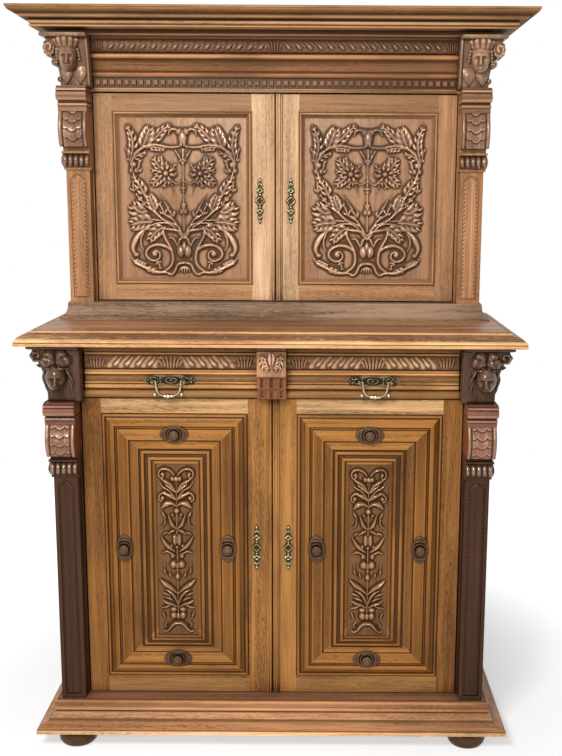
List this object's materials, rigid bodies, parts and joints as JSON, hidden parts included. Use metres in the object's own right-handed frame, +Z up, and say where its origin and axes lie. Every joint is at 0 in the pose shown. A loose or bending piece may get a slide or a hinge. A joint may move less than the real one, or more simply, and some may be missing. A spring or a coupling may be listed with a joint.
{
  "type": "hutch cabinet",
  "caption": "Two-part carved oak buffet: lower case with panelled doors and drawers under a moulded counter, shallower cupboard above with carved doors, mask corbels and a deep cornice.",
  "frame": {"origin": "centre of the bounding box on the floor", "axes": "+Z up, front faces -Y, +X to the viewer's right"},
  "size_m": [1.504, 0.62, 2.1582],
  "materials": {
    "golden_oak": "waxed, worn on the edges",
    "brown_oak": "waxed, darkened",
    "dark_oak": "dark stain, polished",
    "red_oak": "reddish stain, waxed",
    "grey_oak": "weathered, dull",
    "pale_oak": "bare inside face",
    "aged_brass": "aged, dull in the hollows",
    "iron": "dark, unpolished"
  },
  "bodies": {
    "case": {"foot_front_left": "brown_oak", "foot_front_right": "brown_oak", "base_plinth": "brown_oak", "lower_side_left": "brown_oak", "lower_side_right": "brown_oak", "lower_back": "pale_oak", "lower_shelf": "pale_oak", "lower_post_left": "dark_oak", "lower_post_right": "dark_oak", "lower_mask_left": "dark_oak", "lower_mask_right": "dark_oak", "dust_board": "golden_oak", "drawer_top_rail": "golden_oak", "centre_bracket": "red_oak", "counter_top": "golden_oak", "upper_base_moulding": "grey_oak", "upper_side_left": "golden_oak", "upper_side_right": "golden_oak", "upper_back": "pale_oak", "upper_shelf": "pale_oak", "upper_post_left": "golden_oak", "upper_post_right": "golden_oak", "upper_mask_left": "brown_oak", "upper_mask_right": "brown_oak", "frieze": "golden_oak", "cornice": "golden_oak", "lower_left_bottom_pin": "iron", "lower_left_top_pin": "iron", "lower_right_bottom_pin": "iron", "lower_right_top_pin": "iron", "upper_left_bottom_pin": "iron", "upper_left_top_pin": "iron", "upper_right_bottom_pin": "iron", "upper_right_top_pin": "iron"},
    "left_drawer": {"left_drawer_front": "golden_oak", "left_drawer_box": "pale_oak", "left_handle_plate": "aged_brass"},
    "left_drawer_bail": {"left_bail": "aged_brass"},
    "right_drawer": {"right_drawer_front": "golden_oak", "right_drawer_box": "pale_oak", "right_handle_plate": "aged_brass"},
    "right_drawer_bail": {"right_bail": "aged_brass"},
    "lower_left_door": {"lower_left_door_frame": "golden_oak", "lower_left_door_moulding": "golden_oak", "lower_left_door_panel": "brown_oak", "lower_left_escutcheon": "aged_brass"},
    "lower_right_door": {"lower_right_door_frame": "golden_oak", "lower_right_door_moulding": "golden_oak", "lower_right_door_panel": "brown_oak", "lower_right_escutcheon": "aged_brass", "lower_lock": "iron"},
    "lower_bolt": {"lower_lock_bolt": "iron"},
    "upper_left_door": {"upper_left_door_frame": "golden_oak", "upper_left_door_panel": "golden_oak", "upper_left_escutcheon": "aged_brass"},
    "upper_right_door": {"upper_right_door_frame": "golden_oak", "upper_right_door_panel": "golden_oak", "upper_right_escutcheon": "aged_brass", "upper_lock": "iron"},
    "upper_bolt": {"upper_lock_bolt": "iron"}
  },
  "joints": [
    {"name": "left_drawer_slide", "type": "slide", "parent": "case", "child": "left_drawer", "axis": [0, -1, 0], "range_m": [0, 0.3]},
    {"name": "right_drawer_slide", "type": "slide", "parent": "case", "child": "right_drawer", "axis": [0, -1, 0], "range_m": [0, 0.3]},
    {"name": "left_bail_swing", "type": "hinge", "parent": "left_drawer", "child": "left_drawer_bail", "pos_m": [-0.297, -0.2268, 1.1093], "axis": [-1, 0, 0], "range_deg": [0, 95]},
    {"name": "right_bail_swing", "type": "hinge", "parent": "right_drawer", "child": "right_drawer_bail", "pos_m": [0.297, -0.2268, 1.1093], "axis": [-1, 0, 0], "range_deg": [0, 95]},
    {"name": "lower_left_door_swing", "type": "hinge", "parent": "case", "child": "lower_left_door", "pos_m": [-0.532, -0.19, 0.6], "axis": [0, 0, -1], "range_deg": [0, 85]},
    {"name": "lower_right_door_swing", "type": "hinge", "parent": "case", "child": "lower_right_door", "pos_m": [0.532, -0.19, 0.6], "axis": [0, 0, 1], "range_deg": [0, 85]},
    {"name": "lower_bolt_slide", "type": "slide", "parent": "lower_right_door", "child": "lower_bolt", "axis": [-1, 0, 0], "range_m": [0, 0.01]},
    {"name": "upper_left_door_swing", "type": "hinge", "parent": "case", "child": "upper_left_door", "pos_m": [-0.524, 0.063, 1.62], "axis": [0, 0, -1], "range_deg": [0, 85]},
    {"name": "upper_right_door_swing", "type": "hinge", "parent": "case", "child": "upper_right_door", "pos_m": [0.524, 0.063, 1.62], "axis": [0, 0, 1], "range_deg": [0, 85]},
    {"name": "upper_bolt_slide", "type": "slide", "parent": "upper_right_door", "child": "upper_bolt", "axis": [-1, 0, 0], "range_m": [0, 0.01]}
  ]
}
